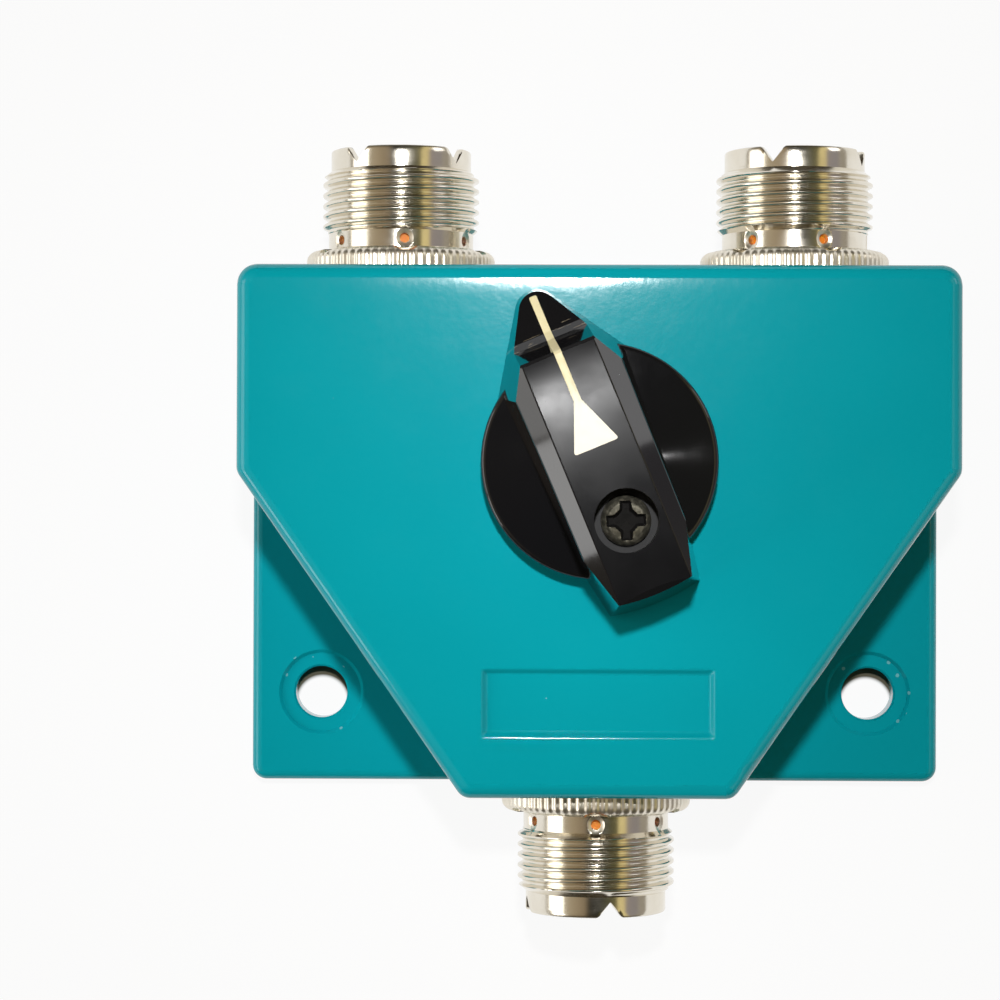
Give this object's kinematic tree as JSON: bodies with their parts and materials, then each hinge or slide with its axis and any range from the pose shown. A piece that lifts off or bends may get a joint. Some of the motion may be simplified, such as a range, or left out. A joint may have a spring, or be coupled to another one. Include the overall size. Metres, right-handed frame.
{
  "type": "coaxial antenna switch",
  "caption": "Two-way coaxial aerial switch: die-cast box with mounting ears, threaded sockets on opposite edges and a black pointer knob.",
  "frame": {"origin": "knob axis where it meets the back mounting plane", "axes": "+Z out of the front panel along the knob axis, +Y towards the two aerial sockets, +X to the right seen from the front"},
  "size_m": [0.0724, 0.077, 0.043],
  "materials": {
    "teal_enamel": "gloss stoved enamel on die-cast metal",
    "nickel_plate": "bright nickel plate",
    "amber_plastic": "moulded amber insulator",
    "contact_brass": "silvered brass",
    "screw_steel": "zinc-plated steel",
    "white_plastic": "white bearing plastic",
    "hub_alloy": "turned alloy",
    "knob_black": "gloss black moulding",
    "screw_black": "blackened steel"
  },
  "bodies": {
    "case": {"front_housing": "teal_enamel", "rear_cover": "teal_enamel", "cover_screws": "screw_steel", "thrust_washer": "white_plastic", "port_one_shell": "nickel_plate", "port_one_insulator": "amber_plastic", "port_one_contact": "contact_brass", "port_one_nut": "nickel_plate", "port_one_terminal": "contact_brass", "port_two_shell": "nickel_plate", "port_two_insulator": "amber_plastic", "port_two_contact": "contact_brass", "port_two_nut": "nickel_plate", "port_two_terminal": "contact_brass", "common_shell": "nickel_plate", "common_insulator": "amber_plastic", "common_contact": "contact_brass", "common_nut": "nickel_plate", "common_terminal": "contact_brass"},
    "rotor": {"rotor_hub": "hub_alloy", "detent_ball": "screw_steel", "detent_spring": "screw_steel", "rotor_insulator": "white_plastic", "contact_blade": "contact_brass", "blade_rivets": "contact_brass", "grounding_yoke": "contact_brass", "rotor_screws": "screw_steel", "knob": "knob_black", "knob_screw": "screw_black"}
  },
  "joints": [
    {"name": "knob_turn", "type": "hinge", "parent": "case", "child": "rotor", "pos_m": [0, 0, 0.0285], "axis": [0, 0, -1], "range_deg": [0, 45]}
  ]
}
